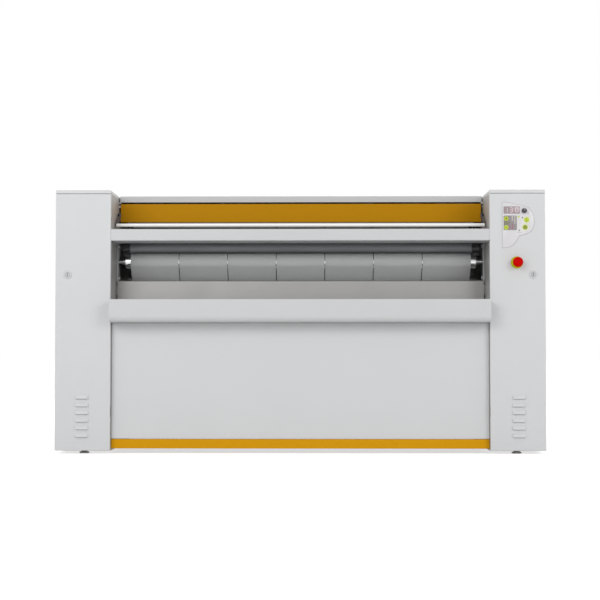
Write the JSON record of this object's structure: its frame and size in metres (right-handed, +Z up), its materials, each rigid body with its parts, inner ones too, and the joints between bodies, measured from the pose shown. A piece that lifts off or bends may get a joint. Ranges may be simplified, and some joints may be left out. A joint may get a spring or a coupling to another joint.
{
  "type": "flatwork ironer",
  "caption": "Flatwork ironer: a heated cylinder wrapped by ironing belts between two cabinets, with feed table, finger guard, chute and collecting tray in front.",
  "frame": {"origin": "centre of the whole part's footprint, on the floor under the feet", "axes": "+X to the operator's right along the cylinder, +Y from the operator to the rear, +Z up"},
  "size_m": [1.93, 0.71, 1.04],
  "materials": {
    "paint": "light grey powder coat, satin",
    "ochre": "ochre powder coat, satin",
    "guard_white": "white coat, satin",
    "stainless": "brushed stainless steel",
    "polished_steel": "polished steel",
    "belt_felt": "woven heat-resistant felt",
    "dark_steel": "oiled dark steel",
    "drive_paint": "blue-grey machine paint",
    "zinc": "zinc-plated sheet",
    "rubber": "black rubber",
    "membrane": "printed matt film",
    "lens": "tinted clear window",
    "black_plastic": "black moulded plastic",
    "lime_key": "yellow-green soft key",
    "olive_key": "olive green soft key",
    "yellow_plastic": "yellow moulded plastic",
    "red_plastic": "red moulded plastic",
    "lock_zinc": "nickel-plated die casting",
    "circuit_board": "green circuit board"
  },
  "bodies": {
    "chassis": {"left_side_frame": "stainless", "left_outer_panel": "paint", "left_top_cover": "paint", "left_foot_front": "rubber", "left_foot_rear": "rubber", "right_side_frame": "stainless", "right_outer_panel": "paint", "right_top_cover": "paint", "right_foot_front": "rubber", "right_foot_rear": "rubber", "front_panel": "paint", "feed_table": "paint", "top_cover": "paint", "collection_tray": "paint", "kick_strip": "ochre", "hood_front": "ochre", "rear_panel": "zinc", "tie_beam": "zinc", "fan_housing": "zinc", "fan_inlet_ring": "zinc", "exhaust_spigot": "zinc", "control_box": "zinc", "chute_plate": "stainless", "ironing_belt_1": "belt_felt", "ironing_belt_2": "belt_felt", "ironing_belt_3": "belt_felt", "ironing_belt_4": "belt_felt", "ironing_belt_5": "belt_felt", "ironing_belt_6": "belt_felt", "ironing_belt_7": "belt_felt", "heating_elements": "dark_steel", "fan_motor": "dark_steel", "drive_belt": "rubber", "gearmotor": "drive_paint"},
    "left_door": {"left_door": "paint"},
    "right_door": {"right_door": "paint", "keypad_panel": "membrane", "display_window": "lens", "control_board": "circuit_board", "estop_collar": "yellow_plastic"},
    "left_lock": {"left_lock": "lock_zinc"},
    "right_lock": {"right_lock": "lock_zinc"},
    "heated_cylinder": {"heated_cylinder": "stainless", "cylinder_pulley": "dark_steel"},
    "motor_pulley": {"motor_pulley": "dark_steel"},
    "finger_guard": {"finger_guard": "guard_white"},
    "fan_impeller": {"fan_impeller": "zinc"},
    "speed_knob": {"speed_knob": "black_plastic"},
    "plus_key": {"plus_key": "lime_key"},
    "minus_key": {"minus_key": "lime_key"},
    "start_key": {"start_key": "lime_key"},
    "stop_key": {"stop_key": "olive_key"},
    "estop_plunger": {"estop_plunger": "lock_zinc"},
    "estop_head": {"estop_head": "red_plastic"},
    "feed_roller": {"feed_roller": "polished_steel"},
    "exit_roller": {"exit_roller": "polished_steel"},
    "tension_roller": {"tension_roller": "polished_steel"},
    "rear_lower_roller": {"rear_lower_roller": "polished_steel"},
    "rear_upper_roller": {"rear_upper_roller": "polished_steel"}
  },
  "joints": [
    {"name": "left_door_hinge", "type": "hinge", "parent": "chassis", "child": "left_door", "pos_m": [-0.755, -0.277, 0.15], "axis": [0, 0, 1], "range_deg": [0, 90]},
    {"name": "right_door_hinge", "type": "hinge", "parent": "chassis", "child": "right_door", "pos_m": [0.755, -0.277, 0.15], "axis": [0, 0, -1], "range_deg": [0, 90]},
    {"name": "left_lock_turn", "type": "hinge", "parent": "left_door", "child": "left_lock", "pos_m": [-0.917, -0.285, 0.705], "axis": [0, 1, 0], "range_deg": [0, 90]},
    {"name": "right_lock_turn", "type": "hinge", "parent": "right_door", "child": "right_lock", "pos_m": [0.917, -0.285, 0.705], "axis": [0, -1, 0], "range_deg": [0, 90]},
    {"name": "cylinder_spin", "type": "hinge", "parent": "chassis", "child": "heated_cylinder", "pos_m": [0, 0.095, 0.835], "axis": [1, 0, 0], "continuous": true},
    {"name": "motor_pulley_spin", "type": "hinge", "parent": "chassis", "child": "motor_pulley", "pos_m": [-0.805, 0.095, 0.305], "axis": [1, 0, 0], "continuous": true},
    {"name": "feed_roller_spin", "type": "hinge", "parent": "chassis", "child": "feed_roller", "pos_m": [0, -0.0174, 0.94736], "axis": [1, 0, 0], "continuous": true},
    {"name": "exit_roller_spin", "type": "hinge", "parent": "chassis", "child": "exit_roller", "pos_m": [0, -0.08, 0.769], "axis": [1, 0, 0], "continuous": true},
    {"name": "tension_roller_spin", "type": "hinge", "parent": "chassis", "child": "tension_roller", "pos_m": [0, 0.045, 0.64], "axis": [1, 0, 0], "continuous": true},
    {"name": "rear_lower_roller_spin", "type": "hinge", "parent": "chassis", "child": "rear_lower_roller", "pos_m": [0, 0.26, 0.72], "axis": [1, 0, 0], "continuous": true},
    {"name": "rear_upper_roller_spin", "type": "hinge", "parent": "chassis", "child": "rear_upper_roller", "pos_m": [0, 0.245, 0.95], "axis": [1, 0, 0], "continuous": true},
    {"name": "finger_guard_lift", "type": "hinge", "parent": "chassis", "child": "finger_guard", "pos_m": [0, -0.085, 0.96], "axis": [-1, 0, 0], "range_deg": [0, 15]},
    {"name": "fan_spin", "type": "hinge", "parent": "chassis", "child": "fan_impeller", "pos_m": [0.85, 0.18, 0.945], "axis": [1, 0, 0], "continuous": true},
    {"name": "speed_knob_turn", "type": "hinge", "parent": "right_door", "child": "speed_knob", "pos_m": [0.883, -0.285, 0.956], "axis": [0, -1, 0], "range_deg": [-135, 135]},
    {"name": "plus_key_push", "type": "slide", "parent": "right_door", "child": "plus_key", "axis": [0, 1, 0], "range_m": [0, 0.001], "stiffness_N_per_m": 1500},
    {"name": "minus_key_push", "type": "slide", "parent": "right_door", "child": "minus_key", "axis": [0, 1, 0], "range_m": [0, 0.001], "stiffness_N_per_m": 1500},
    {"name": "start_key_push", "type": "slide", "parent": "right_door", "child": "start_key", "axis": [0, 1, 0], "range_m": [0, 0.001], "stiffness_N_per_m": 1500},
    {"name": "stop_key_push", "type": "slide", "parent": "right_door", "child": "stop_key", "axis": [0, 1, 0], "range_m": [0, 0.001], "stiffness_N_per_m": 1500},
    {"name": "estop_push", "type": "slide", "parent": "right_door", "child": "estop_plunger", "axis": [0, 1, 0], "range_m": [0, 0.006]},
    {"name": "estop_twist", "type": "hinge", "parent": "estop_plunger", "child": "estop_head", "pos_m": [0.853, -0.305, 0.752], "axis": [0, -1, 0], "range_deg": [0, 45], "stiffness_Nm_per_rad": 0.05}
  ],
  "couplings": [
    {"joint": "motor_pulley_spin", "follows": "cylinder_spin", "ratio": 2},
    {"joint": "feed_roller_spin", "follows": "cylinder_spin", "ratio": -3.9874},
    {"joint": "exit_roller_spin", "follows": "cylinder_spin", "ratio": -3.9874},
    {"joint": "tension_roller_spin", "follows": "cylinder_spin", "ratio": -3.9874},
    {"joint": "rear_lower_roller_spin", "follows": "cylinder_spin", "ratio": -3.9874},
    {"joint": "rear_upper_roller_spin", "follows": "cylinder_spin", "ratio": -3.9874}
  ]
}
